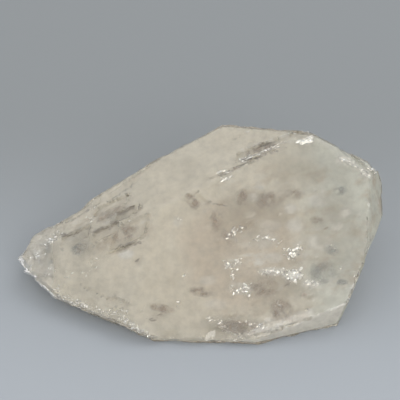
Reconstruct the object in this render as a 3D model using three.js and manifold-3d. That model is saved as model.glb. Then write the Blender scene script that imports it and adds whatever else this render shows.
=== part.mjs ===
// A rough topaz crystal lying on one of its faces.
// It is one solid: flat growth faces cut out of a block, terraces and cracks along the grain,
// a broken, splintered end that tapers to a chisel tip, and small chips and etch pits.
// Millimetres, +Z up. X runs from the broken tip to the finished end, Y from front to back,
// and the origin is under the middle of the crystal on the surface that it lies on.
import * as THREE from "three";
import { mergeVertices } from "three/addons/utils/BufferGeometryUtils.js";
import Module from "manifold-3d";

const wasm = await Module();
wasm.setup();

// Driving dimensions
const blockSize = 90; // the block that the growth faces are cut from
const heart = new THREE.Vector3(0, 0, 10); // every face's reach is measured from this point
const grain = { azimuth: 9.5, tilt: 23 }; // the crystal's long axis, along which it grew

// Faces: the compass direction that a face looks in (0 is +X, 90 is +Y), its tilt above the
// horizon, both in degrees, and its distance from the heart. A broken face also has the
// height of its relief and the size of its facets.
const faces = {
  front: { azimuth: -90, tilt: 52, reach: 2.1 },
  frontLeft: { azimuth: -116.9, tilt: 54.1, reach: 4.3 },
  top: { azimuth: -137, tilt: 72.7, reach: 5.8 },
  topLeft: { azimuth: -157.4, tilt: 66.2, reach: 7.6 },
  topRight: { azimuth: 5, tilt: 62, reach: 21 },
  right: { azimuth: -21.1, tilt: 22.9, reach: 25.9 },
  rightBack: { azimuth: 20, tilt: -22, reach: 29.7 },
  rightCorner: { azimuth: 44, tilt: 6, reach: 30.6 },
  rightUnder: { azimuth: -19.7, tilt: -13.4, reach: 27.3 },
  frontWall: { azimuth: -73, tilt: 3, reach: 16.4 },
  frontFoot: { azimuth: -92, tilt: -12, reach: 16.1 },
  frontLeftWall: { azimuth: -119, tilt: -33, reach: 18.7, relief: 0.4, facet: 1.2 },
  backRight: { azimuth: 74, tilt: 16, reach: 21.4 },
  backLeft: { azimuth: 120.7, tilt: 24, reach: 17.2 },
  backLeftTip: { azimuth: 126.7, tilt: 30, reach: 17 },
  tipBack: { azimuth: 151, tilt: 30, reach: 22.5, relief: 0.7, facet: 1.2 },
  tipUnder: { azimuth: -160, tilt: -35, reach: 27.9, relief: 0.5, facet: 1.1 },
  backUnder: { azimuth: 95, tilt: -38, reach: 18.6, relief: 1.2, facet: 1.7 },
  leftUnder: { azimuth: 174, tilt: -74.5, reach: 13.5, relief: 0.9, facet: 1.5 },
  rest: { azimuth: 0, tilt: -90, reach: 10 },
};

// Ledges: shallow steps that run along the grain. Each starts with a small wall, depth high,
// and leans by so many degrees until it runs out into the face.
const ledges = [
  { face: "frontLeft", x: -21.7, y: 1.8, length: 5.4, width: 1.8, depth: 0.4, lean: -7 },
  { face: "frontLeft", x: -16.4, y: 1.4, length: 4.8, width: 1.6, depth: 0.35, lean: -7, turn: 2 },
  { face: "frontLeft", x: -12.6, y: 3.6, length: 4, width: 1.4, depth: 0.4, lean: -8 },
  { face: "frontLeft", x: -12.2, y: 0.6, length: 6.4, width: 3.4, depth: 0.5, lean: 5 },
  { face: "frontLeft", x: -10.8, y: 4.6, length: 5, width: 1, depth: 0.25, lean: 8, turn: -3 },
  { face: "frontLeft", x: -17.2, y: -6.8, length: 6, width: 1.6, depth: 0.22, lean: 8, turn: -46 },
  { face: "frontLeft", x: -13, y: -10, length: 5, width: 1.2, depth: 0.28, lean: -8, turn: -43 },
  { face: "topLeft", x: -15.4, y: 6.1, length: 6.2, width: 1.6, depth: 0.35, lean: -9 },
  { face: "topLeft", x: -20.6, y: 7.2, length: 7, width: 1.4, depth: 0.3, lean: 9, turn: 10 },
  { face: "topLeft", x: -14.2, y: 8.9, length: 5, width: 1.2, depth: 0.25, lean: 8, turn: 14 },
  { face: "topLeft", x: -11.4, y: 10.4, length: 6, width: 1.1, depth: 0.2, lean: -9, turn: 15 },
  { face: "top", x: 11.6, y: 12.1, length: 11, width: 1.9, depth: 0.4, lean: -9, turn: 1 },
  { face: "topRight", x: 26.4, y: 12, length: 14, width: 1.1, depth: 0.3, lean: -9, turn: -46 },
  { face: "topRight", x: 25, y: 13.3, length: 14, width: 1.2, depth: 0.35, lean: -9, turn: -44 },
  { face: "front", x: 13.5, y: -12.4, length: 12, width: 1.2, depth: 0.2, lean: 6, turn: -5 },
  { face: "backRight", x: 8, y: 17.5, length: 30, width: 3.4, depth: 0.5, lean: 5 },
  { face: "backRight", x: 16, y: 18, length: 24, width: 2.6, depth: 0.4, lean: 6, turn: 3 },
  { face: "backRight", x: 12, y: 16, length: 34, width: 2.2, depth: 0.45, lean: -8, turn: -2 },
  { face: "backLeft", x: -6, y: 15.5, length: 22, width: 2.8, depth: 0.5, lean: 6 },
  { face: "backLeft", x: -2, y: 17.5, length: 18, width: 1.8, depth: 0.35, lean: -7, turn: 4 },
  { face: "backLeftTip", x: -18, y: 10.2, length: 18, width: 2, depth: 0.4, lean: 7 },
  { face: "rightBack", x: 30, y: 9, length: 12, width: 2.4, depth: 0.35, lean: 7, turn: 20 },
];
const ledgeEnd = 35; // how far a ledge's ends slant across the grain, in degrees

// Scoops: shell-shaped breaks, each a shallow rippled dish of the given width and depth.
const scoops = [
  { face: "frontLeft", x: -28.6, y: 0.4, width: 9.6, depth: 0.6 },
  { face: "frontLeft", x: -30.7, y: 0.6, width: 6.4, depth: 0.95 },
  { face: "frontLeft", x: -25, y: -3.4, width: 4.2, depth: 0.45 },
  { face: "frontLeft", x: -22.2, y: -6, width: 3.8, depth: 0.4, stretch: 1.4 },
  { face: "frontLeft", x: -19, y: -8.8, width: 3.2, depth: 0.4 },
  { face: "frontLeft", x: -15.4, y: -11, width: 2.8, depth: 0.4, stretch: 1.6 },
  { face: "frontLeft", x: -11.4, y: -12.9, width: 3, depth: 0.5 },
  { face: "frontLeft", x: -21.6, y: -0.6, width: 5.4, depth: 0.4, stretch: 1.5 },
  { face: "frontLeft", x: -10.8, y: -4.1, width: 1.5, depth: 0.3 },
  { face: "topLeft", x: -27, y: 4.6, width: 5, depth: 0.6, stretch: 1.4 },
  { face: "topLeft", x: -22, y: 7, width: 3.4, depth: 0.4, stretch: 1.7 },
  { face: "topLeft", x: -30, y: 2.2, width: 3, depth: 0.5 },
  { face: "top", x: 17.6, y: 12.9, width: 3, depth: 0.5, stretch: 1.5 },
  { face: "top", x: 13.6, y: 11.7, width: 2.8, depth: 0.4, stretch: 2 },
  { face: "front", x: -5.2, y: -15.1, width: 4.4, depth: 0.7 },
  { face: "front", x: 2.6, y: -15.2, width: 5.2, depth: 0.7 },
  { face: "front", x: -1.2, y: -15.4, width: 2.6, depth: 0.4 },
  { face: "front", x: 6.2, y: -15.2, width: 2.4, depth: 0.35 },
  { face: "front", x: 16.8, y: -12.6, width: 1.8, depth: 0.25, stretch: 1.6 },
  { face: "front", x: 22.2, y: -10.9, width: 1.4, depth: 0.2, stretch: 1.4 },
  { face: "front", x: 29.1, y: 3.2, width: 1.5, depth: 0.25 },
  { face: "front", x: 28.6, y: -4, width: 2.2, depth: 0.4 },
  { face: "front", x: 27.1, y: -6.9, width: 1.8, depth: 0.35 },
  { face: "rightUnder", x: 28.6, y: -1.5, width: 5.4, depth: 0.6 },
  { face: "backRight", x: 27, y: 14, width: 6.4, depth: 0.8 },
  { face: "backRight", x: 4, y: 21.6, width: 5, depth: 0.6, stretch: 1.5 },
  { face: "backLeft", x: -9.5, y: 15.6, width: 4.6, depth: 0.5, stretch: 1.6 },
  { face: "backLeftTip", x: -24, y: 8, width: 6.5, depth: 0.8, stretch: 1.3 },
];
const scoopRim = 1.25; // how far the cutter reaches past a scoop's edge, as a share of it
const scoopSides = 14; // flats around a scoop
const ringStep = 0.75; // from one ripple of a scoop to the next
const ripple = 0.16; // height of the ripples, as a share of the scoop's depth
const lumpSize = 1.4; // how far apart the lumps in a scoop are
const lumpHeight = 0.3; // their height, as a share of the scoop's depth
const rimSway = 0.22; // how far a scoop's outline wanders, as a share of its width

// Cracks: narrow open grooves where a healed break meets the surface.
const cracks = [
  { face: "top", x: 13.8, y: 11.3, length: 6.4, width: 0.8, turn: 1 },
  { face: "top", x: 8.4, y: 9.8, length: 6.8, width: 0.9, turn: 6 },
  { face: "top", x: 3.6, y: 8.2, length: 5.2, width: 0.7, turn: 4 },
  { face: "top", x: 9.4, y: 11.4, length: 7, width: 0.6, turn: -6 },
  { face: "front", x: 0.4, y: 4.4, length: 5, width: 0.5, turn: -62 },
  { face: "frontLeft", x: -11.6, y: 3.4, length: 4.6, width: 0.6, turn: 3 },
  { face: "frontLeft", x: -13.6, y: -1.6, length: 6.6, width: 0.9, turn: -1 },
  { face: "backLeft", x: -4, y: 16.2, length: 9, width: 0.7, turn: 8 },
];
const crackDepth = 0.6; // a crack's depth, as a share of its width

// Etch pits: small four-sided hollows strewn over a face around a middle point.
const pitFields = [
  { face: "front", x: 12, y: -4, spreadX: 13, spreadY: 10, count: 13 },
  { face: "frontLeft", x: -18, y: -2.5, spreadX: 9, spreadY: 6, count: 11 },
  { face: "top", x: 5, y: 13, spreadX: 7, spreadY: 4, count: 5 },
  { face: "backRight", x: 12, y: 17.5, spreadX: 12, spreadY: 1.6, count: 6 },
];
const pitWidth = { least: 0.5, most: 1.1 };
const pitStretch = 1.6; // an etch pit is this many times longer along the grain
const pitDepth = 0.35; // an etch pit's depth, as a share of its width

// Relief of the broken faces, drawn out along the grain
const broadHills = { apart: 3.4, height: 0.75 }; // in facets, and as a share of the relief
const fineHills = { apart: 1.2, height: 0.55 };
const hillStretch = 2.2;
const breakSize = 74; // the extent of a broken face's rough cutter

const cutterHeight = 6; // how far the small cutters stand out of a face
const smallestEdge = 0.002; // corners closer than this are one corner

// A repeatable stream of numbers from 0 to 1.
function numbersFrom(seed) {
  let state = seed;
  return () => {
    state = (state * 1664525 + 1013904223) % 4294967296;
    return state / 4294967296;
  };
}

// A smooth random height over the plane, from -1 to 1, with hills one unit apart.
function hills(x, y, seed) {
  const height = (i, j) => {
    const wave = Math.sin(i * 127.1 + j * 311.7 + seed * 74.7) * 43758.5453;
    return 2 * (wave - Math.floor(wave)) - 1;
  };
  const i = Math.floor(x);
  const j = Math.floor(y);
  const u = THREE.MathUtils.smoothstep(x - i, 0, 1);
  const v = THREE.MathUtils.smoothstep(y - j, 0, 1);
  const near = THREE.MathUtils.lerp(height(i, j), height(i + 1, j), u);
  const far = THREE.MathUtils.lerp(height(i, j + 1), height(i + 1, j + 1), u);
  return THREE.MathUtils.lerp(near, far, v);
}

function facing({ azimuth, tilt }) {
  const a = THREE.MathUtils.degToRad(azimuth);
  const t = THREE.MathUtils.degToRad(tilt);
  return new THREE.Vector3(Math.cos(t) * Math.cos(a), Math.cos(t) * Math.sin(a), Math.sin(t));
}

// A frame on a face: X along the grain, turned by so many degrees, and Z straight out.
function frameOn(face, point, turn = 0) {
  const out = facing(face);
  const along = facing(grain).projectOnPlane(out).normalize();
  along.applyAxisAngle(out, THREE.MathUtils.degToRad(turn));
  const across = new THREE.Vector3().crossVectors(out, along);
  return new THREE.Matrix4().makeBasis(along, across, out).setPosition(point);
}

// The same at the place on a face that is seen from above at x and y. A steep face is met
// straight along its normal instead.
function placeOn(name, x, y, turn) {
  const face = faces[name];
  const out = facing(face);
  const point = new THREE.Vector3(x, y, heart.z);
  const short = face.reach - out.dot(point.clone().sub(heart));
  if (Math.abs(out.z) > 0.5) point.z += short / out.z;
  else point.addScaledVector(out, short);
  return frameOn(face, point, turn);
}

// Moves every corner of a geometry by a function of its place.
function reshape(geometry, move) {
  const corners = geometry.attributes.position;
  const corner = new THREE.Vector3();
  for (let i = 0; i < corners.count; i++) {
    corner.fromBufferAttribute(corners, i);
    move(corner);
    corners.setXYZ(i, corner.x, corner.y, corner.z);
  }
  return geometry;
}

// A three.js geometry as a closed solid with shared corners.
function solidFrom(geometry) {
  const bare = geometry.clone();
  bare.deleteAttribute("normal");
  bare.deleteAttribute("uv");
  const merged = mergeVertices(bare, 1e-4);
  const corners = merged.attributes.position;
  const order = Array.from(merged.index.array);
  return new wasm.Manifold(
    new wasm.Mesh({
      numProp: 3,
      vertProperties: new Float32Array(corners.array),
      triVerts: new Uint32Array(withoutSlivers(order)),
    }),
  );
}

// The triangles of an index list that still have three different corners.
function withoutSlivers(order) {
  return order.filter((_, i) => {
    const [a, b, c] = order.slice(i - (i % 3), i - (i % 3) + 3);
    return a !== b && b !== c && c !== a;
  });
}

// Everything that lies outside a face, as a block to cut away. A broken face's block has a
// rough underside, so that the break it leaves is hilly and splintered.
function beyond(face) {
  const broken = face.relief !== undefined;
  const size = broken ? breakSize : 3 * blockSize;
  const steps = broken ? Math.round(size / face.facet) : 1;
  const block = new THREE.BoxGeometry(size, size, blockSize, steps, steps, 1);
  if (broken) {
    const layer = (at, { apart, height }, seed) => {
      const spacing = face.facet * apart;
      return height * hills(at.x / spacing / hillStretch, at.y / spacing, seed);
    };
    reshape(block, (at) => {
      if (at.z > 0) return;
      at.z += face.relief * layer(at, broadHills, face.reach);
      at.z += face.relief * layer(at, fineHills, face.tilt);
    });
  }
  const middle = heart.clone().addScaledVector(facing(face), face.reach + blockSize / 2);
  return solidFrom(block.applyMatrix4(frameOn(face, middle)));
}

// A leaning bar whose underside cuts one ledge. Its ends run off at a slant.
function ledge({ face, x, y, length, width, depth, lean, turn }) {
  const slope = THREE.MathUtils.degToRad(lean);
  const shear = Math.tan(THREE.MathUtils.degToRad(ledgeEnd));
  const bar = new THREE.BoxGeometry(length, width, cutterHeight);
  reshape(bar, (at) => {
    at.x += shear * at.y;
    at.z += cutterHeight / 2;
  });
  bar.rotateX(slope);
  const drop = depth - (width / 2) * Math.sin(Math.abs(slope));
  bar.translate(0, 0, -Math.max(drop, depth / 3));
  return solidFrom(bar.applyMatrix4(placeOn(face, x, y, turn)));
}

// A plug whose rippled, lumpy underside bites one shallow dish out of a face.
function scoop({ face, x, y, width, depth, stretch = 1 }) {
  const radius = width / 2;
  const rings = Math.ceil((radius * scoopRim) / ringStep) + 1;
  const profile = Array.from({ length: rings + 1 }, (_, i) => {
    const out = (scoopRim * i) / rings;
    return new THREE.Vector2(out * radius, depth * (out * out - 1 + ripple * (i % 2)));
  });
  profile.push(new THREE.Vector2(scoopRim * radius, cutterHeight));
  profile.push(new THREE.Vector2(0, cutterHeight));
  const plug = new THREE.LatheGeometry(profile, scoopSides);
  plug.rotateX(Math.PI / 2);
  reshape(plug, (at) => {
    const sway = 1 + rimSway * hills(at.x / radius + x, at.y / radius + y, depth);
    at.x *= sway * stretch;
    at.y *= sway;
    if (at.z < cutterHeight / 2) {
      at.z += lumpHeight * depth * hills(at.x / lumpSize + x, at.y / lumpSize + y, width);
    }
  });
  return solidFrom(plug.applyMatrix4(placeOn(face, x, y)));
}

// A long diamond, which leaves a V-shaped groove that runs out at both ends.
function crack({ face, x, y, length, width, turn }) {
  const diamond = new THREE.OctahedronGeometry(1);
  diamond.scale(length / 2, width / 2, width * crackDepth);
  return solidFrom(diamond.applyMatrix4(placeOn(face, x, y, turn)));
}

// A four-sided point, drawn out along the grain.
function pit(face, x, y, width) {
  const point = new THREE.OctahedronGeometry(1);
  point.scale((width / 2) * pitStretch, width / 2, width * pitDepth);
  return solidFrom(point.applyMatrix4(placeOn(face, x, y)));
}

function pits({ face, x, y, spreadX, spreadY, count }) {
  const next = numbersFrom(Math.round(100 * (x + 3 * y + 60)));
  return Array.from({ length: count }, () => {
    const width = THREE.MathUtils.lerp(pitWidth.least, pitWidth.most, next() ** 2);
    return pit(face, x + spreadX * (2 * next() - 1), y + spreadY * (2 * next() - 1), width);
  });
}

// The finished solid as a three.js geometry, without edges too short to matter.
function geometryFrom(solid) {
  const mesh = solid.getMesh();
  const corners = new Float32Array(mesh.numVert * 3);
  for (let i = 0; i < mesh.numVert; i++) {
    corners.set(mesh.vertProperties.subarray(i * mesh.numProp, i * mesh.numProp + 3), i * 3);
  }
  const raw = new THREE.BufferGeometry();
  raw.setAttribute("position", new THREE.BufferAttribute(corners, 3));
  raw.setIndex(new THREE.BufferAttribute(mesh.triVerts, 1));
  const geometry = mergeVertices(raw, smallestEdge);
  geometry.setIndex(withoutSlivers(Array.from(geometry.index.array)));
  return geometry;
}

// Moves a geometry so that the middle of its underside is at the origin.
function overOrigin(geometry) {
  geometry.computeBoundingBox();
  const middle = geometry.boundingBox.getCenter(new THREE.Vector3());
  return geometry.translate(-middle.x, -middle.y, -geometry.boundingBox.min.z);
}

let crystal = solidFrom(new THREE.BoxGeometry(blockSize, blockSize, blockSize));
for (const face of Object.values(faces)) crystal = crystal.subtract(beyond(face));
const cutters = [
  ...ledges.map(ledge),
  ...scoops.map(scoop),
  ...cracks.map(crack),
  ...pitFields.flatMap(pits),
];
for (const cutter of cutters) crystal = crystal.subtract(cutter);

const paleTopaz = new THREE.MeshStandardMaterial({
  color: 0xc9c3ae,
  roughness: 0.18,
  metalness: 0,
});
const body = new THREE.Mesh(overOrigin(geometryFrom(crystal)), paleTopaz);
body.name = "topaz_crystal";

const part = new THREE.Group();
part.add(body);
export default part;
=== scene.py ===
import math
import random

import bmesh
import bpy
from mathutils import Matrix, Vector, noise
from mathutils.bvhtree import BVHTree


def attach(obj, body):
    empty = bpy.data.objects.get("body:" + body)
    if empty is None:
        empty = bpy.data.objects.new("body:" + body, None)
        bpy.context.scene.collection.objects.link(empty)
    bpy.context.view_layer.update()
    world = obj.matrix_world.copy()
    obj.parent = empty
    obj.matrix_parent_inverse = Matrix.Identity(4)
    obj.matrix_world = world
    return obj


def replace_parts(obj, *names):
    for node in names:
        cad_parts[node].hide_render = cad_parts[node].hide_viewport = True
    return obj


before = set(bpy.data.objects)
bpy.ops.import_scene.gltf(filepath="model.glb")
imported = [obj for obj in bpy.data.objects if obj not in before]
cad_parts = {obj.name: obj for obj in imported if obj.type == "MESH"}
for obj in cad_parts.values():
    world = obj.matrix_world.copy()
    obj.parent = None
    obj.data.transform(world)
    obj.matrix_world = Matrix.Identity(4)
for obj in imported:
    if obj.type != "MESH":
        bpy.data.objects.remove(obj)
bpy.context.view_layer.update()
mm = 0.001
print("frame loaded")

# the crystal grew along this axis, so streaks and splinters run along it
grainTurn = Matrix.Rotation(math.radians(9.5), 3, "Z") @ Matrix.Rotation(math.radians(-23), 3, "Y")
grainAxis, grainSide, grainUp = (grainTurn.col[i] for i in range(3))


def smooth(low, high, value):
    t = min(max((value - low) / (high - low), 0), 1)
    return t * t * (3 - 2 * t)


def newMaterial(name):
    material = bpy.data.materials.new(name)
    material.use_nodes = True
    nodes = material.node_tree.nodes
    return material, nodes, material.node_tree.links, nodes["Principled BSDF"]


def addNode(nodes, kind, values=None, **settings):
    made = nodes.new(kind)
    for key, value in settings.items():
        setattr(made, key, value)
    for key, value in (values or {}).items():
        made.inputs[key].default_value = value
    return made


def mixColours(nodes, links, factor, low, high, target):
    mix = addNode(nodes, "ShaderNodeMix", data_type="RGBA")
    colours = [socket for socket in mix.inputs if socket.type == "RGBA"]
    colours[0].default_value = low
    colours[1].default_value = high
    links.new(factor, mix.inputs["Factor"])
    links.new([socket for socket in mix.outputs if socket.type == "RGBA"][0], target)


def addPiece(name, mesh, material):
    piece = bpy.data.objects.new(name, mesh)
    bpy.context.scene.collection.objects.link(piece)
    mesh.materials.clear()
    mesh.materials.append(material)
    return piece


def keepWithCrystal(piece):
    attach(piece, "root")
    return piece


# the faceted solid from the frame, with its loose triangles joined
def joinedCrystal():
    bm = bmesh.new()
    bm.from_mesh(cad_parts["topaz_crystal"].data)
    bmesh.ops.remove_doubles(bm, verts=bm.verts, dist=0.001 * mm)
    return bm


# the body: the solid with worn edges, splintered breaks and etched hidden faces

bodyLook = {
    "colour": (0.98, 0.94, 0.85, 1),
    "frostColour": (0.98, 0.96, 0.92, 1),
    "transmission": 0.92,
    "ior": 1.62,
    "clearRoughness": 0.03,
    "frostRoughness": 0.4,
    "tint": (0.78, 0.66, 0.35, 1),  # what a metre of it would let through, so it looks pale
    "tintDensity": 10,
    "cell": 0.9 * mm,
    "hiddenCell": 0.45 * mm,
    "brokenCell": 0.25 * mm,
    "brokenEnd": -21 * mm,
    "creaseAngle": math.radians(11),
    "streakDepth": 0.015 * mm,
    "splinterDepth": 0.12 * mm,
    "edgeWear": 0.06 * mm,
    "lumpDepth": 0.28 * mm,
    "lumpSize": 2.2 * mm,
}


def breakAmount(co, normal):
    tip = smooth(-22 * mm, -28 * mm, co.x)
    under = smooth(-0.15, -0.45, normal.z) * smooth(0.05 * mm, 0.6 * mm, co.z)
    rim = smooth(5 * mm, 1.5 * mm, co.z) * smooth(-4 * mm, -10 * mm, co.x)
    return max(tip, 0.8 * under, 0.7 * rim)


# the faces turned away from the viewer are etched and lumpy
def hiddenAmount(normal):
    return max(smooth(0.1, 0.5, normal.y), smooth(-0.2, -0.6, normal.z))


def wearIn(bm, look):
    bm.normal_update()
    frost = bm.verts.layers.float.new("frost")
    moves = []
    for v in bm.verts:
        co, normal = v.co, v.normal
        along, side, up = co.dot(grainAxis), co.dot(grainSide), co.dot(grainUp)
        broken = breakAmount(co, normal)
        streak = noise.noise(Vector((along / (9 * mm), side / (0.9 * mm), up / (0.9 * mm))))
        shard = Vector((along / (1.7 * mm), side / (0.8 * mm), up / (0.8 * mm)))
        splinter = noise.fractal(shard, 0.8, 2.2, 3)
        hidden = hiddenAmount(normal)
        lump = noise.fractal(Vector((along / 1.2, side, up)) / look["lumpSize"], 0.9, 2.1, 4)
        sharp = smooth(1.02, 1.3, v.calc_shell_factor())
        chip = smooth(0.0, 0.5, noise.noise(co / (1.4 * mm)))
        sink = look["streakDepth"] * smooth(-0.2, 0.6, streak)
        sink += look["splinterDepth"] * broken * smooth(-0.5, 0.7, splinter)
        sink += look["edgeWear"] * sharp * (0.3 + chip)
        sink += look["lumpDepth"] * hidden * smooth(-0.5, 0.6, lump)
        pale = smooth(0.35, 0.8, -normal.x * 0.6 + normal.z * 0.75)  # the band of top faces
        v[frost] = min(1, max(broken, 0.5 * pale, 0.5 * sharp, 0.4 * hidden))
        moves.append(co - normal * sink)
    for v, place in zip(bm.verts, moves):
        v.co = place


def makeBodyMaterial(look):
    material, nodes, links, shader = newMaterial("paleTopaz")
    place = addNode(nodes, "ShaderNodeTexCoord")
    turn = addNode(nodes, "ShaderNodeMapping", {"Rotation": grainTurn.inverted().to_euler()})
    links.new(place.outputs["Object"], turn.inputs["Vector"])
    stretch = addNode(nodes, "ShaderNodeVectorMath", {1: (0.12, 1, 1)}, operation="MULTIPLY")
    links.new(turn.outputs["Vector"], stretch.inputs[0])
    streaks = addNode(nodes, "ShaderNodeTexNoise", {"Scale": 1500, "Detail": 4, "Roughness": 0.6})
    links.new(stretch.outputs["Vector"], streaks.inputs["Vector"])
    grit = addNode(nodes, "ShaderNodeTexNoise", {"Scale": 2600, "Detail": 3, "Roughness": 0.7})
    links.new(place.outputs["Object"], grit.inputs["Vector"])
    clouds = addNode(nodes, "ShaderNodeTexNoise", {"Scale": 260, "Detail": 5, "Roughness": 0.62})
    links.new(place.outputs["Object"], clouds.inputs["Vector"])
    frost = addNode(nodes, "ShaderNodeAttribute", attribute_name="frost")

    # frosted where it's broken, worn or cloudy
    patchy = addNode(nodes, "ShaderNodeMath", {1: 0.5}, operation="MULTIPLY_ADD")
    links.new(clouds.outputs["Fac"], patchy.inputs[0])
    links.new(frost.outputs["Fac"], patchy.inputs[2])
    dull = addNode(
        nodes,
        "ShaderNodeMapRange",
        {
            "From Min": 0.3,
            "From Max": 1.2,
            "To Min": look["clearRoughness"],
            "To Max": look["frostRoughness"],
        },
    )
    links.new(patchy.outputs["Value"], dull.inputs["Value"])
    links.new(dull.outputs["Result"], shader.inputs["Roughness"])

    base = shader.inputs["Base Color"]
    mixColours(nodes, links, frost.outputs["Fac"], look["colour"], look["frostColour"], base)

    fine = addNode(nodes, "ShaderNodeBump", {"Strength": 0.2, "Distance": 0.03 * mm})
    links.new(streaks.outputs["Fac"], fine.inputs["Height"])
    gritty = addNode(nodes, "ShaderNodeMath", operation="MULTIPLY")
    links.new(grit.outputs["Fac"], gritty.inputs[0])
    links.new(frost.outputs["Fac"], gritty.inputs[1])
    rough = addNode(nodes, "ShaderNodeBump", {"Strength": 0.8, "Distance": 0.1 * mm})
    links.new(gritty.outputs["Value"], rough.inputs["Height"])
    links.new(fine.outputs["Normal"], rough.inputs["Normal"])
    links.new(rough.outputs["Normal"], shader.inputs["Normal"])

    shader.inputs["Transmission Weight"].default_value = look["transmission"]
    shader.inputs["IOR"].default_value = look["ior"]
    tinted = {"Color": look["tint"], "Density": look["tintDensity"]}
    absorb = addNode(nodes, "ShaderNodeVolumeAbsorption", tinted)
    links.new(absorb.outputs["Volume"], nodes["Material Output"].inputs["Volume"])
    return material


# cuts faces into even cells along one axis, so that they can be worn while the creases stay.
# The margin is wider than the tolerance, so that no face comes back uncut for ever
cutTolerance = 0.05
cutMargin = 0.08


def cutAlong(bm, faces, axis, spacing):
    normal = Vector([float(axis == other) for other in range(3)])
    waiting, done = {}, []
    while faces:
        for face in faces:
            reach = [v.co[axis] / spacing for v in face.verts]
            step = math.floor(min(reach) + cutMargin) + 1
            if step < max(reach) - cutMargin:
                waiting.setdefault(step, []).append(face)
            else:
                done.append(face)
        if not waiting:
            break
        step = min(waiting)
        crossed = waiting.pop(step)
        edges = list({edge for face in crossed for edge in face.edges})
        place = normal * step * spacing
        geom = crossed + edges
        near = cutTolerance * spacing
        cut = bmesh.ops.bisect_plane(bm, geom=geom, dist=near, plane_co=place, plane_no=normal)
        faces = [item for item in cut["geom"] if isinstance(item, bmesh.types.BMFace)]
    return done


def cutEvenly(bm, spacing, chosen):
    faces = [face for face in bm.faces if chosen(face)]
    for axis in range(3):
        faces = cutAlong(bm, faces, axis, spacing)


def makeBody(look):
    bm = joinedCrystal()
    bmesh.ops.dissolve_limit(bm, angle_limit=math.radians(0.3), verts=bm.verts, edges=bm.edges)
    bm.normal_update()
    cutEvenly(bm, look["cell"], lambda face: True)
    cutEvenly(bm, look["hiddenCell"], lambda face: hiddenAmount(face.normal) > 0)
    cutEvenly(bm, look["brokenCell"], lambda face: face.calc_center_median().x < look["brokenEnd"])
    bmesh.ops.triangulate(bm, faces=bm.faces)
    bm.normal_update()
    for edge in bm.edges:
        edge.smooth = edge.calc_face_angle() < look["creaseAngle"]
    for face in bm.faces:
        face.smooth = True
    wearIn(bm, look)
    mesh = bpy.data.meshes.new("topazBody")
    bm.to_mesh(mesh)
    bm.free()
    piece = addPiece("topazBody", mesh, makeBodyMaterial(look))
    print("body faces", len(mesh.polygons))
    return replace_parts(keepWithCrystal(piece), "topaz_crystal")


makeBody(bodyLook)
print("body made")

# inside the crystal. Places are given across the front face: u along the crystal, v up
# that face, both in mm, and deep is how far below the surface seen there

inner = joinedCrystal()
innerTree = BVHTree.FromBMesh(inner)
inner.free()
frontFace = Matrix(((1, 0, 0), (0, 0.788, -0.616), (0, 0.616, 0.788)))
frontNormal = frontFace.col[2]


def depthInside(point):
    place, normal, _, gap = innerTree.find_nearest(point)
    return gap if (place - point).dot(normal) > 0 else -gap


def belowSurface(u, v, deep):
    place, normal, _, _ = innerTree.ray_cast(frontFace @ Vector((u, v, 60)) * mm, -frontNormal)
    if place is None:
        return None, None
    return place - normal * deep * mm, normal


# the milky zone: a sheet just under the skin stands in for the cloudiness of the whole crystal.
# Windows are clearer places and pale patches whiter ones, in part painted halos of light round the
# glinting flakes, each given as u, v, half its length, half its width and strength; warmHeart and
# mottledLedges are given the same way, less strength

zoneLook = {
    "deep": 0.42 * mm,
    "cell": 0.5 * mm,
    "cover": 0.78,
    "hiddenCover": 0.42,
    "even": 0.75,
    "patchSize": 5 * mm,
    "patchiness": 0.12,
    "hiddenPatchiness": 0.2,
    "settleRounds": 4,
    "cream": (0.98, 0.935, 0.825, 1),
    "warm": (0.88, 0.79, 0.67, 1),
    "cool": (0.9, 0.93, 0.87, 1),
    # white of the pale patches and of the painted light on the front wall
    "paleAndPaintedLight": (0.99, 0.98, 0.95, 1),
    "blotch": (0.68, 0.59, 0.47, 1),
    "fleck": (1, 0.99, 0.96, 1),
    "mottledFrom": (-3, 6),
    "mottledLedges": (-16, 5.5, 9, 5),
    "warmHeart": (8, 1, 13, 11),
    "coolEnd": (13, 24),
    "windows": [
        (19, 16, 9, 5, 0.25),
        (23, 4, 6, 9, 0.35),
        (9, 7, 8, 5, 0.4),
        (13, -5, 6, 3, 0.35),
        (5, -11.5, 7, 2, 0.4),
        (-20, 2.5, 3, 3, 0.4),
        (-14, 7.5, 4, 2, 0.4),
        (-27, 1, 3, 4, 0.3),
    ],
    # whiter patches of milk; round the glinting flakes they are painted halos of light
    "palePatches": [
        (18.2, 20.4, 1.9, 1.2, 1),
        (25.4, 16.8, 2.4, 1.1, 1),
        (28.4, 14.8, 2.4, 1.1, 1),
        (-12.6, 0.7, 1.7, 1, 1),
        (15.6, -3, 2.2, 1.4, 1),
        (19, -4.4, 1.9, 1, 1),
        (15.8, 0.8, 1.3, 1.1, 1),
        (12.6, -2.4, 3.2, 1, 0.9),
        (5.4, -1.3, 1.8, 1.3, 0.9),
        (7, -5.4, 2.6, 1.1, 0.9),
        (9.5, 3.2, 4.6, 2.2, 0.6),
        (15.5, 8.4, 1.3, 1.1, 0.9),
        (16.3, 5.6, 2, 1.4, 0.8),
        (20.6, 9.9, 2.4, 1.4, 0.7),
        (24.9, 7.7, 1.2, 1, 0.8),
        (23.3, 5.4, 1.5, 1, 0.8),
        (20.5, 2.6, 2.6, 1.8, 0.8),
        (12, 5.6, 2.4, 1.2, 0.6),
        (12.6, 0, 2, 1.1, 0.6),
        (9.1, 10.3, 1.3, 1, 0.8),
        (8.6, 7.5, 1.2, 0.9, 0.7),
        (-3.8, 6.3, 0.9, 1.2, 0.6),
        (1.4, -3.9, 1.8, 1, 0.5),
        (2.6, -8, 2.4, 1.1, 0.4),
        (-28.5, 1, 2.6, 3.4, 0.6),
    ],
}


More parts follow.
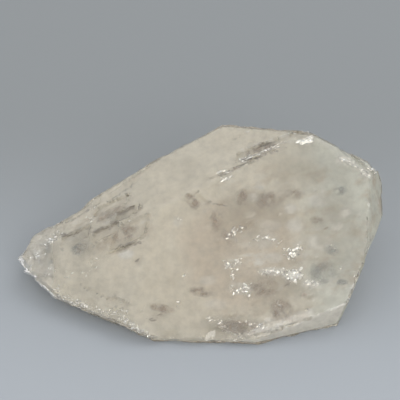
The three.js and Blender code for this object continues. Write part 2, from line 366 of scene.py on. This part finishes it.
def nearness(u, v, patch):
    return max(0, 1 - ((u - patch[0]) / patch[2]) ** 2 - ((v - patch[1]) / patch[3]) ** 2)


# turns the thickness painted on the corners into cover, more or less raggedly
def makeRaggedFade():
    group = bpy.data.node_groups.new("raggedFade", "ShaderNodeTree")
    for name in ("Pattern", "Even"):
        group.interface.new_socket(name, in_out="INPUT", socket_type="NodeSocketFloat")
    group.interface.new_socket("Cover", in_out="OUTPUT", socket_type="NodeSocketFloat")
    given = group.nodes.new("NodeGroupInput")
    result = group.nodes.new("NodeGroupOutput")
    ragged = addNode(group.nodes, "ShaderNodeMapRange", {"From Min": 0.3, "From Max": 0.62})
    group.links.new(given.outputs["Pattern"], ragged.inputs["Value"])
    group.links.new(given.outputs["Even"], ragged.inputs["To Min"])
    thick = addNode(group.nodes, "ShaderNodeAttribute", attribute_name="thick")
    cover = addNode(group.nodes, "ShaderNodeMath", operation="MULTIPLY")
    group.links.new(thick.outputs["Fac"], cover.inputs[0])
    group.links.new(ragged.outputs["Result"], cover.inputs[1])
    group.links.new(cover.outputs["Value"], result.inputs["Cover"])
    return group


raggedFade = makeRaggedFade()


def fadeBy(nodes, links, pattern, even, shader):
    fade = addNode(nodes, "ShaderNodeGroup", node_tree=raggedFade)
    fade.inputs["Even"].default_value = even
    links.new(pattern, fade.inputs["Pattern"])
    links.new(fade.outputs["Cover"], shader.inputs["Alpha"])


# mixes one colour after another into the milky one
def tintInTurn(nodes, links, start, tints, target):
    colour = None
    for factor, tint in tints:
        mix = addNode(nodes, "ShaderNodeMix", data_type="RGBA")
        low, high = [socket for socket in mix.inputs if socket.type == "RGBA"]
        low.default_value = start
        high.default_value = tint
        if colour:
            links.new(colour, low)
        links.new(factor, mix.inputs["Factor"])
        colour = [socket for socket in mix.outputs if socket.type == "RGBA"][0]
    links.new(colour, target)


# blotches of one noise, only where the named paint lies
def blotches(nodes, links, vector, scale, reach, paint):
    pattern = addNode(nodes, "ShaderNodeTexNoise", {"Scale": scale, "Detail": 5, "Roughness": 0.62})
    links.new(vector, pattern.inputs["Vector"])
    cut = addNode(nodes, "ShaderNodeMapRange", {"From Min": reach[0], "From Max": reach[1]})
    links.new(pattern.outputs["Fac"], cut.inputs["Value"])
    painted = addNode(nodes, "ShaderNodeMath", operation="MULTIPLY")
    links.new(cut.outputs["Result"], painted.inputs[0])
    links.new(paint, painted.inputs[1])
    return painted.outputs["Value"]


def makeZoneMaterial(look):
    material, nodes, links, shader = newMaterial("milkyZone")
    place = addNode(nodes, "ShaderNodeTexCoord")
    turn = addNode(nodes, "ShaderNodeMapping", {"Rotation": grainTurn.inverted().to_euler()})
    links.new(place.outputs["Object"], turn.inputs["Vector"])
    stretch = addNode(nodes, "ShaderNodeVectorMath", {1: (0.55, 1, 1)}, operation="MULTIPLY")
    links.new(turn.outputs["Vector"], stretch.inputs[0])
    paint = {
        name: addNode(nodes, "ShaderNodeAttribute", attribute_name=name).outputs["Fac"]
        for name in ("warm", "cool", "paleAndPaintedLight", "mottled")
    }
    along = stretch.outputs["Vector"]
    tints = [
        (paint["warm"], look["warm"]),
        (paint["cool"], look["cool"]),
        (blotches(nodes, links, along, 330, (0.48, 0.68), paint["mottled"]), look["blotch"]),
        (blotches(nodes, links, along, 470, (0.56, 0.7), paint["mottled"]), look["fleck"]),
        # pale patches, and painted light on the front wall
        (paint["paleAndPaintedLight"], look["paleAndPaintedLight"]),
    ]
    tintInTurn(nodes, links, look["cream"], tints, shader.inputs["Base Color"])
    wisps = addNode(nodes, "ShaderNodeTexNoise", {"Scale": 700, "Detail": 5, "Roughness": 0.65})
    links.new(place.outputs["Object"], wisps.inputs["Vector"])
    fadeBy(nodes, links, wisps.outputs["Fac"], look["even"], shader)
    shader.inputs["Roughness"].default_value = 0.6
    return material


def makeZone(look):
    bm = joinedCrystal()
    mesh = bpy.data.meshes.new("milkyZone")
    bm.to_mesh(mesh)
    bm.free()
    block = bpy.data.objects.new("zoneBlock", mesh)
    bpy.context.scene.collection.objects.link(block)
    remesh = block.modifiers.new("evenFaces", "REMESH")
    remesh.mode = "VOXEL"
    remesh.voxel_size = look["cell"]
    ready = bpy.context.evaluated_depsgraph_get()
    evened = bpy.data.meshes.new_from_object(block.evaluated_get(ready))
    bpy.data.objects.remove(block)
    bm = bmesh.new()
    bm.from_mesh(evened)
    painted = ("thick", "warm", "cool", "paleAndPaintedLight", "mottled")
    layers = {name: bm.verts.layers.float.new(name) for name in painted}
    for corner in bm.verts:
        outward = innerTree.find_nearest(corner.co)[1]
        for _ in range(look["settleRounds"]):
            normal = innerTree.find_nearest(corner.co)[1]
            corner.co -= normal * (look["deep"] - depthInside(corner.co))
        u, v, _ = frontFace.inverted() @ corner.co / mm
        hidden = hiddenAmount(outward)
        patch = noise.fractal(corner.co / look["patchSize"], 1, 2.1, 4)
        clear = max(nearness(u, v, window) * window[4] for window in look["windows"]) * (1 - hidden)
        cover = look["cover"] + (look["hiddenCover"] - look["cover"]) * hidden - clear
        cover += (look["patchiness"] + look["hiddenPatchiness"] * hidden) * patch
        skinFade = smooth(0.04 * mm, 0.25 * mm, depthInside(corner.co))
        corner[layers["thick"]] = max(0, min(1, cover)) * skinFade
        warmth = smooth(0, 0.6, nearness(u, v, look["warmHeart"]) + 0.2 * patch)
        corner[layers["warm"]] = warmth * (1 - hidden)
        corner[layers["cool"]] = smooth(*look["coolEnd"], u + 3 * patch)
        ledges = smooth(0, 0.5, nearness(u, v, look["mottledLedges"]))
        mottled = max(smooth(*look["mottledFrom"], u + patch), ledges)
        corner[layers["mottled"]] = mottled * smooth(17, 14.5, v)
        # painted light: the front wall is painted white where light shines out through it
        wall = smooth(-0.7, -0.9, outward.y) * smooth(0.4, 0.15, abs(outward.z)) * smooth(2, 8, u)
        # pale patches: whiter milk, and round the glinting flakes painted halos of light
        pale = max(smooth(0, 0.7, nearness(u, v, spot)) * spot[4] for spot in look["palePatches"])
        corner[layers["paleAndPaintedLight"]] = max(wall, pale * smooth(-0.6, 0.2, patch) * (1 - hidden))
        corner[layers["thick"]] = max(corner[layers["thick"]], corner[layers["paleAndPaintedLight"]])
    for face in bm.faces:
        face.smooth = True
    bm.to_mesh(evened)
    bm.free()
    evened.name = "milkyZone"
    print("zone faces", len(evened.polygons))
    return keepWithCrystal(addPiece("milkyZone", evened, makeZoneMaterial(look)))


makeZone(zoneLook)
print("zone made")

# soft spots and clouds: thin sheets that fade out towards their edges, each one given as
# u, v, deep, half its length, half its width, turn in degrees and strength


def addMist(bm, look, spot, number):
    u, v, deep, long, wide, turn, strength = spot
    middle, normal = belowSurface(u, v, deep)
    if middle is None:
        return
    face = frontFace @ Matrix.Rotation(math.radians(turn), 3, "Z")
    if look["lieFlat"]:
        face = normal.rotation_difference(frontNormal).inverted().to_matrix() @ face
    cells = [min(40, max(6, round(2 * half / look["cell"]))) for half in (long, wide)]
    sheet = bmesh.new()
    bmesh.ops.create_grid(sheet, x_segments=cells[0], y_segments=cells[1], size=1)
    for corner in sheet.verts:
        x, y = corner.co.x * long, corner.co.y * wide
        wave = noise.fractal(Vector((x, y, number)) / look["patch"], 1, 2, 3)
        lift = look["crumple"] * min(long, wide) * wave
        corner.co = middle + face @ Vector((x, y, lift)) * mm
    outside = [c for c in sheet.verts if depthInside(c.co) < look["margin"] * mm]
    bmesh.ops.delete(sheet, geom=outside, context="VERTS")
    bmesh.ops.delete(sheet, geom=[c for c in sheet.verts if not c.link_faces], context="VERTS")
    bmesh.ops.solidify(sheet, geom=sheet.faces[:], thickness=0.02 * mm)
    bmesh.ops.recalc_face_normals(sheet, faces=sheet.faces)
    fade = sheet.verts.layers.float.new("thick")
    back = face.inverted()
    for corner in sheet.verts:
        local = back @ (corner.co - middle) / mm
        rim = 1 - (local.x / long) ** 2 - (local.y / wide) ** 2
        wall = depthInside(corner.co) / mm - look["margin"]
        patch = noise.fractal(Vector((local.x, local.y, number * 7.3)) / look["patch"], 1, 2.1, 4)
        cloud = strength * smooth(0, look["soft"], rim) * smooth(0, 0.1 + 0.5 * look["margin"], wall)
        corner[fade] = cloud * smooth(-0.7, 0.5, patch)
    piece = bpy.data.meshes.new("sheet")
    sheet.to_mesh(piece)
    sheet.free()
    bm.from_mesh(piece)
    bpy.data.meshes.remove(piece)


def makeMist(name, look):
    bm = bmesh.new()
    bm.verts.layers.float.new("thick")
    for number, spot in enumerate(look["spots"]):
        addMist(bm, look, spot, number)
    for face in bm.faces:
        face.smooth = True
    mesh = bpy.data.meshes.new(name)
    bm.to_mesh(mesh)
    bm.free()
    print(name, len(mesh.polygons), "faces")
    return keepWithCrystal(addPiece(name, mesh, makeMistMaterial(name + "Look", look)))


def makeMistMaterial(name, look):
    material, nodes, links, shader = newMaterial(name)
    place = addNode(nodes, "ShaderNodeTexCoord")
    wisps = addNode(nodes, "ShaderNodeTexNoise", {"Scale": 900, "Detail": 5, "Roughness": 0.65})
    links.new(place.outputs["Object"], wisps.inputs["Vector"])
    fadeBy(nodes, links, wisps.outputs["Fac"], look["even"], shader)
    shader.inputs["Base Color"].default_value = look["colour"]
    shader.inputs["Roughness"].default_value = 0.6
    return material


mists = {
    "milkyClouds": {
        "colour": (0.95, 0.87, 0.71, 1),
        "cell": 0.7,
        "crumple": 0.25,
        "patch": 3,
        "soft": 0.9,
        "margin": 0.35,
        "even": 0.3,
        "lieFlat": False,
        "spots": [
            (-3.5, 3, 2.6, 12, 11, 10, 0.8),
            (0, -6, 2, 13, 7, 0, 0.6),
            (10, 2, 4, 12, 10, 20, 0.6),
            (19, 5, 4, 9, 10, -20, 0.55),
            (-14, 2, 2, 10, 8, 20, 0.6),
            (12, -8, 2.4, 13, 5, 8, 0.5),
            (4, 8, 4, 12, 8, 20, 0.6),
        ],
    },
    # painted shade: brown sheets standing in for the shaded floor and underside seen through the crystal
    "paintedShadeSpots": {
        "colour": (0.5, 0.4, 0.3, 1),
        "cell": 0.35,
        "crumple": 0.02,
        "patch": 1.1,
        "soft": 1,
        "margin": 0.08,
        "even": 0.3,
        "lieFlat": True,
        "spots": [
            (-1.2, 9.6, 0.25, 2.2, 1, -52, 1),
            (2.8, 6.4, 0.25, 1.4, 2, 10, 0.8),
            (7.2, 10.4, 0.25, 1.3, 1.8, 0, 0.9),
            (11.8, 10, 0.25, 3.4, 1.8, 8, 0.6),
            (10.8, -5.2, 0.25, 2.8, 1.7, 10, 0.7),
            (13.8, -9, 0.25, 2.4, 2.6, 20, 0.7),
            (0, -5.8, 0.25, 2.4, 0.9, -10, 0.7),
            (-6.5, -8.6, 0.25, 2.8, 0.8, -12, 0.7),
            (6.6, -11.8, 0.25, 4.6, 1.3, 0, 0.7),
            (11, 19.2, 0.25, 5, 1.1, 14, 1),
            (5, 15.2, 0.25, 2.6, 0.5, 24, 0.8),
            (-13, 4.4, 0.25, 2.8, 1.5, 20, 0.7),
            (-16, 8, 0.25, 3.4, 0.8, 24, 0.7),
            (5, 3.2, 0.25, 1.2, 2.4, 40, 0.6),
            (3.4, 9.2, 0.25, 1.5, 2.2, -30, 0.7),
            (16, 11, 0.25, 2.6, 1, 0, 0.5),
            (20, 6.4, 0.25, 1.4, 0.9, 0, 0.6),
            (8.6, 5.6, 0.25, 1.6, 0.8, 30, 0.5),
            (17.8, -6, 0.25, 2, 1, 10, 0.5),
            (21, -1.4, 0.25, 1.4, 0.8, 20, 0.5),
        ],
    },
    # painted shade: grey sheets at the tip and the right end, standing in for shade in the pits and the
    # shaded floor seen through
    "paintedGreyShadeSpots": {
        "colour": (0.46, 0.48, 0.46, 1),
        "cell": 0.35,
        "crumple": 0.02,
        "patch": 1.2,
        "soft": 1,
        "margin": 0.08,
        "even": 0.3,
        "lieFlat": True,
        "spots": [
            (24.1, 11.6, 0.25, 1.5, 0.9, 0, 0.8),
            (22.6, 1.4, 0.25, 1.6, 1.1, -10, 0.8),
            (24.1, -4.2, 0.25, 1.1, 0.6, 0, 0.8),
            (-21, 2.4, 0.25, 1.8, 1.9, 0, 0.8),
            (-15.4, 7.2, 0.25, 1.7, 0.8, 22, 0.9),
            (-26.8, 2.2, 0.25, 0.6, 1.3, 0, 0.9),
            (-26.2, -0.1, 0.25, 0.8, 0.7, 0, 0.9),
            (21, -2.6, 0.25, 3, 2.4, 0, 0.5),
        ],
    },
}
for name, look in mists.items():
    makeMist(name, look)
print("mists made")

# flakes: tiny mirror-like breaks, and dark flakes of painted shade, strewn along veins given as
# lists of u, v; spread is how far they stray in mm, crowd times plenty how many lie on each mm,
# and deep and flake are the least and most depth and size in mm


def addFlake(bm, stamp, point, turn, size):
    shape = turn.to_4x4() @ Matrix.Scale(size * mm, 4)
    shape.translation = point
    stamp.transform(shape)
    bm.from_mesh(stamp)
    stamp.transform(shape.inverted())


def flakeStamp(long):
    flake = bmesh.new()
    bmesh.ops.create_icosphere(flake, subdivisions=1, radius=1)
    bmesh.ops.scale(flake, verts=flake.verts, vec=(long, 0.75, 0.16))
    stamp = bpy.data.meshes.new("flake")
    flake.to_mesh(stamp)
    flake.free()
    return stamp


def makeVeins(name, look, material, seed):
    rng = random.Random(seed)
    bm = bmesh.new()
    stamp = flakeStamp(look["long"])
    for path, crowd in look["paths"]:
        ends = list(zip(path, path[1:])) or [(path[0], path[0])]
        reach = sum(math.dist(a, b) for a, b in ends) + 2 * look["spread"]
        for _ in range(round(reach * crowd * look["plenty"])):
            (au, av), (bu, bv) = rng.choice(ends)
            t = rng.random()
            u = au + (bu - au) * t + rng.gauss(0, look["spread"])
            v = av + (bv - av) * t + rng.gauss(0, look["spread"])
            point, normal = belowSurface(u, v, rng.uniform(*look["deep"]))
            if point is None or depthInside(point) < 0.05 * mm:
                continue
            small, large = look["flake"]
            size = small * (large / small) ** (rng.random() ** 2)
            leanX = Matrix.Rotation(rng.gauss(0, look["lean"]), 3, "X")
            leanY = Matrix.Rotation(rng.gauss(0, look["lean"]), 3, "Y")
            lean = leanX @ leanY
            turn = normal.to_track_quat("Z", "Y").to_matrix()
            flat = turn.inverted() @ grainAxis
            spin = Matrix.Rotation(math.atan2(flat.y, flat.x) + rng.gauss(0, look["stray"]), 3, "Z")
            addFlake(bm, stamp, point, turn @ spin @ lean, size)
    mesh = bpy.data.meshes.new(name)
    bm.to_mesh(mesh)
    bm.free()
    bpy.data.meshes.remove(stamp)
    print(name, len(mesh.polygons) // 20, "flakes")
    return keepWithCrystal(addPiece(name, mesh, material))


def makeFlakeMaterial(name, colour, roughness, metallic):
    material, nodes, links, shader = newMaterial(name)
    place = addNode(nodes, "ShaderNodeTexCoord")
    mottle = addNode(nodes, "ShaderNodeTexNoise", {"Scale": 700, "Detail": 3})
    links.new(place.outputs["Object"], mottle.inputs["Vector"])
    darker = [0.85 * c for c in colour[:3]] + [1]
    mixColours(nodes, links, mottle.outputs["Fac"], darker, colour, shader.inputs["Base Color"])
    shader.inputs["Roughness"].default_value = roughness
    shader.inputs["Metallic"].default_value = metallic
    return material


healedWhite = makeFlakeMaterial("healedWhite", (0.99, 0.98, 0.95, 1), 0.25, 1)
# painted shade: a dark brown for streaks laid along ledge walls and grooves that lie in shade
paintedShadeBrown = makeFlakeMaterial("paintedShadeBrown", (0.36, 0.31, 0.25, 1), 0.5, 0)

veins = {
    "brightVeil": dict(
        material=healedWhite,
        long=1.5,
        spread=0.3,
        deep=(0.12, 0.36),
        flake=(0.06, 0.3),
        lean=0.25,
        stray=0.6,
        plenty=1.2,
        paths=[
            ([(10.6, -2.7), (11.9, -2.3), (14.5, -2.3)], 16),
            ([(17.8, -4), (19, -4.5), (20, -4.4)], 16),
            ([(14.2, 1.4), (15.7, 1.3), (17.4, 1.6)], 10),
            ([(4.3, -0.8), (4.8, -1.5), (5.8, -1.5)], 12),
            ([(6.5, -0.4), (5.8, -1.5)], 8),
            ([(5.5, -3), (5.8, -3.5)], 12),
            ([(5.1, -5.2), (6.5, -5.7), (7.3, -5.5), (8.5, -4.7)], 14),
            ([(8, -6.1), (8.8, -6.7)], 6),
            ([(12.9, -7.7), (13.4, -8.6)], 6),
            ([(4.8, 3.5), (6, 4.5), (7.4, 5.2)], 8),
            ([(8.9, 2.8), (10.8, 3.5), (11.6, 3.7), (13.5, 2.3)], 5),
            ([(22.7, 2)], 4),
            ([(23.8, -2.1)], 4),
            ([(26.7, -3.7)], 4),
            ([(-2.5, -2.8), (-3.4, -3.1)], 4),
            ([(-4, -8.1)], 7),
            ([(-3.7, 6.4)], 4),
        ],
    ),
    "brightKnot": dict(
        material=healedWhite,
        long=1.3,
        spread=0.5,
        deep=(0.1, 0.36),
        flake=(0.08, 0.42),
        lean=0.3,
        stray=0.8,
        plenty=1.8,
        paths=[
            ([(15.2, -3), (15.9, -3), (16.6, -3.1)], 60),
            ([(15.7, 0.4)], 22),
        ],
    ),
    "tipBruises": dict(
        material=healedWhite,
        long=1.6,
        spread=0.5,
        deep=(0.02, 0.3),
        flake=(0.06, 0.26),
        lean=0.3,
        stray=0.5,
        plenty=1.4,
        paths=[
            ([(-27.2, 3.3), (-26.4, 4), (-24.9, 4.8)], 34),
            ([(-29.1, 0), (-28.8, 1), (-28.1, 2.1)], 26),
            ([(-26.8, -2.1), (-25.7, -1.3)], 22),
            ([(-23.1, -2.8)], 8),
            ([(-20.1, -2.7)], 5),
            ([(-17.7, 0.2), (-18.6, -0.5), (-19.2, -1.5)], 5),
            ([(-19.6, 7.5), (-18.8, 7.4)], 5),
            ([(-19.4, 10.4), (-17.9, 9.5)], 5),
            ([(-25, -5.4), (-22, -6.6)], 7),
        ],
    ),
    "rimBruises": dict(
        material=healedWhite,
        long=1.6,
        spread=0.3,
        deep=(0.02, 0.3),
        flake=(0.05, 0.2),
        lean=0.3,
        stray=0.5,
        plenty=1.3,
        paths=[
            ([(-23.7, -6.9), (-20.5, -7.7), (-18.8, -8.4)], 12),
            ([(-18.8, -8.4), (-16.3, -9), (-14.2, -9.7)], 12),
            ([(-14.2, -9.7), (-12.1, -10.9), (-9.7, -12.6), (-8.1, -13.8)], 16),
            ([(-9.8, -8.9)], 8),
            ([(-11.8, -9.1), (-14.9, -8)], 4),
            ([(1.2, -10.3), (3.1, -10.6)], 8),
            ([(3.1, -10.6), (4.4, -12.8)], 10),
            ([(4.4, -12.8), (6.8, -13.1), (7.8, -13.1)], 10),
            ([(6.8, -10.9), (9.8, -11.6), (10.8, -11.6)], 8),
        ],
    ),
    "crestBruises": dict(
        material=healedWhite,
        long=2.2,
        spread=0.22,
        deep=(0.02, 0.25),
        flake=(0.06, 0.26),
        lean=0.2,
        stray=0.2,
        plenty=1.5,
        paths=[
            ([(3.3, 14.8), (4.9, 15)], 16),
            ([(3.6, 13.4), (5, 13.8)], 14),
            ([(7, 17.1), (8.7, 17.6), (10.8, 18.5)], 14),
            ([(10.8, 18.5), (12.2, 19.2), (14.8, 20.2)], 8),
            ([(17, 20.3), (18.4, 20.3), (19.5, 21)], 60),
            ([(24.2, 17.5), (26.9, 16.2), (29.4, 13.9)], 10),
            ([(28.1, 17.5), (30.5, 15.4)], 8),
            ([(8.5, 22.8)], 5),
        ],
    ),
    # painted shade: dark streaks along the shaded ledge walls at the left and along grooves
    "paintedShadeSplinters": dict(
        material=paintedShadeBrown,
        long=3,
        spread=0.18,
        deep=(0.03, 0.3),
        flake=(0.05, 0.22),
        lean=0.15,
        stray=0.15,
        plenty=1.4,
        paths=[
            ([(-23.9, 4.3), (-21.7, 4.8), (-19.5, 5.9)], 7),
            ([(-18.6, 4.7), (-16.6, 5.5)], 9),
            ([(-16.1, 5.6), (-14.2, 6.4)], 9),
            ([(-13.8, 8), (-11.4, 9.1)], 9),
            ([(-21.5, 3), (-20.8, 1.2)], 6),
            ([(-14.1, 2.2), (-12.3, 2.1), (-9.9, 2.7)], 7),
            ([(-10.7, -0.7)], 8),
            ([(-30.3, 2.1)], 8),
            ([(-27.9, -2.4), (-25.4, -3)], 4),
            ([(7, 17), (10, 17.4), (13, 19)], 5),
            ([(9, 19.4), (14, 20.6)], 6),
            ([(4.2, -10.6), (6.8, -12.3), (9.3, -12.6)], 5),
            ([(15.8, -4.4), (14.4, -4.7)], 5),
            ([(20.2, 6.6)], 4),
            ([(21.2, 5.2)], 4),
            ([(-8.7, -10.6), (-6, -9.4)], 5),
        ],
    ),
}
for number, (name, look) in enumerate(veins.items()):
    makeVeins(name, look, look["material"], 11 + number)
print("veins made")

# floor, light and camera

floorLook = {
    "far": (0.236, 0.25, 0.258, 1),
    "near": (0.362, 0.386, 0.414, 1),
    "paintedLightRamp": (0.045, -0.04),  # painted light: from this y to that the floor is painted paler, lighter towards the camera
    "half": 1.2,
    "drop": 0.05 * mm,
}


def makeFloor(look):
    bm = bmesh.new()
    bmesh.ops.create_grid(bm, x_segments=1, y_segments=1, size=look["half"])
    bmesh.ops.translate(bm, verts=bm.verts, vec=(0, 0, -look["drop"]))
    mesh = bpy.data.meshes.new("paperFloor")
    bm.to_mesh(mesh)
    bm.free()
    material, nodes, links, shader = newMaterial("palePaper")
    place = addNode(nodes, "ShaderNodeTexCoord")
    parts = addNode(nodes, "ShaderNodeSeparateXYZ")
    links.new(place.outputs["Object"], parts.inputs["Vector"])
    # painted light: the floor's colour runs lighter towards the camera
    far, near = look["paintedLightRamp"]
    paintedLightRamp = addNode(
        nodes, "ShaderNodeMapRange", {"From Min": far, "From Max": near}, interpolation_type="SMOOTHSTEP"
    )
    links.new(parts.outputs["Y"], paintedLightRamp.inputs["Value"])
    mixColours(nodes, links, paintedLightRamp.outputs["Result"], look["far"], look["near"], shader.inputs["Base Color"])
    shader.inputs["Roughness"].default_value = 0.8
    addPiece("paperFloor", mesh, material)


studioLook = {
    "sky": 0.95,
    "skyColour": (0.97, 0.985, 1.0, 1),
    "key": {"at": (0.35, 0.45, 0.75), "size": 0.7, "watts": 1.6},
    "fill": {"at": (0.28, -0.6, 0.5), "size": 0.45, "watts": 1.7},
}


def makeLight(name, look):
    data = bpy.data.lights.new(name, "AREA")
    data.shape = "DISK"
    data.size = look["size"]
    data.energy = look["watts"]
    lamp = bpy.data.objects.new(name, data)
    bpy.context.scene.collection.objects.link(lamp)
    lamp.location = look["at"]
    lamp.rotation_euler = lamp.location.to_track_quat("Z", "Y").to_euler()


def makeStudio(look):
    world = bpy.data.worlds.new("softSky")
    world.use_nodes = True
    background = world.node_tree.nodes["Background"]
    background.inputs["Color"].default_value = look["skyColour"]
    background.inputs["Strength"].default_value = look["sky"]
    bpy.context.scene.world = world
    makeLight("keyLight", look["key"])
    makeLight("fillLight", look["fill"])


cameraLook = {
    "aim": (0.03 * mm, -3.95 * mm, 19.6 * mm),
    "elevation": 42,
    "distance": 185.2 * mm,
    "lens": 100,
}


def makeCamera(look):
    data = bpy.data.cameras.new("viewCamera")
    data.lens = look["lens"]
    data.sensor_width = 36
    data.clip_start = 0.005
    data.clip_end = 10
    camera = bpy.data.objects.new("viewCamera", data)
    bpy.context.scene.collection.objects.link(camera)
    rise = math.radians(look["elevation"])
    back = Vector((0, -math.cos(rise), math.sin(rise)))
    camera.location = Vector(look["aim"]) + back * look["distance"]
    camera.rotation_euler = back.to_track_quat("Z", "Y").to_euler()
    bpy.context.scene.camera = camera


makeFloor(floorLook)
makeStudio(studioLook)
makeCamera(cameraLook)
scene = bpy.context.scene
scene.view_settings.view_transform = "Standard"
scene.cycles.max_bounces = 24
scene.cycles.transmission_bounces = 20
scene.cycles.diffuse_bounces = 16
scene.cycles.glossy_bounces = 16
scene.cycles.transparent_max_bounces = 40
print("studio set")
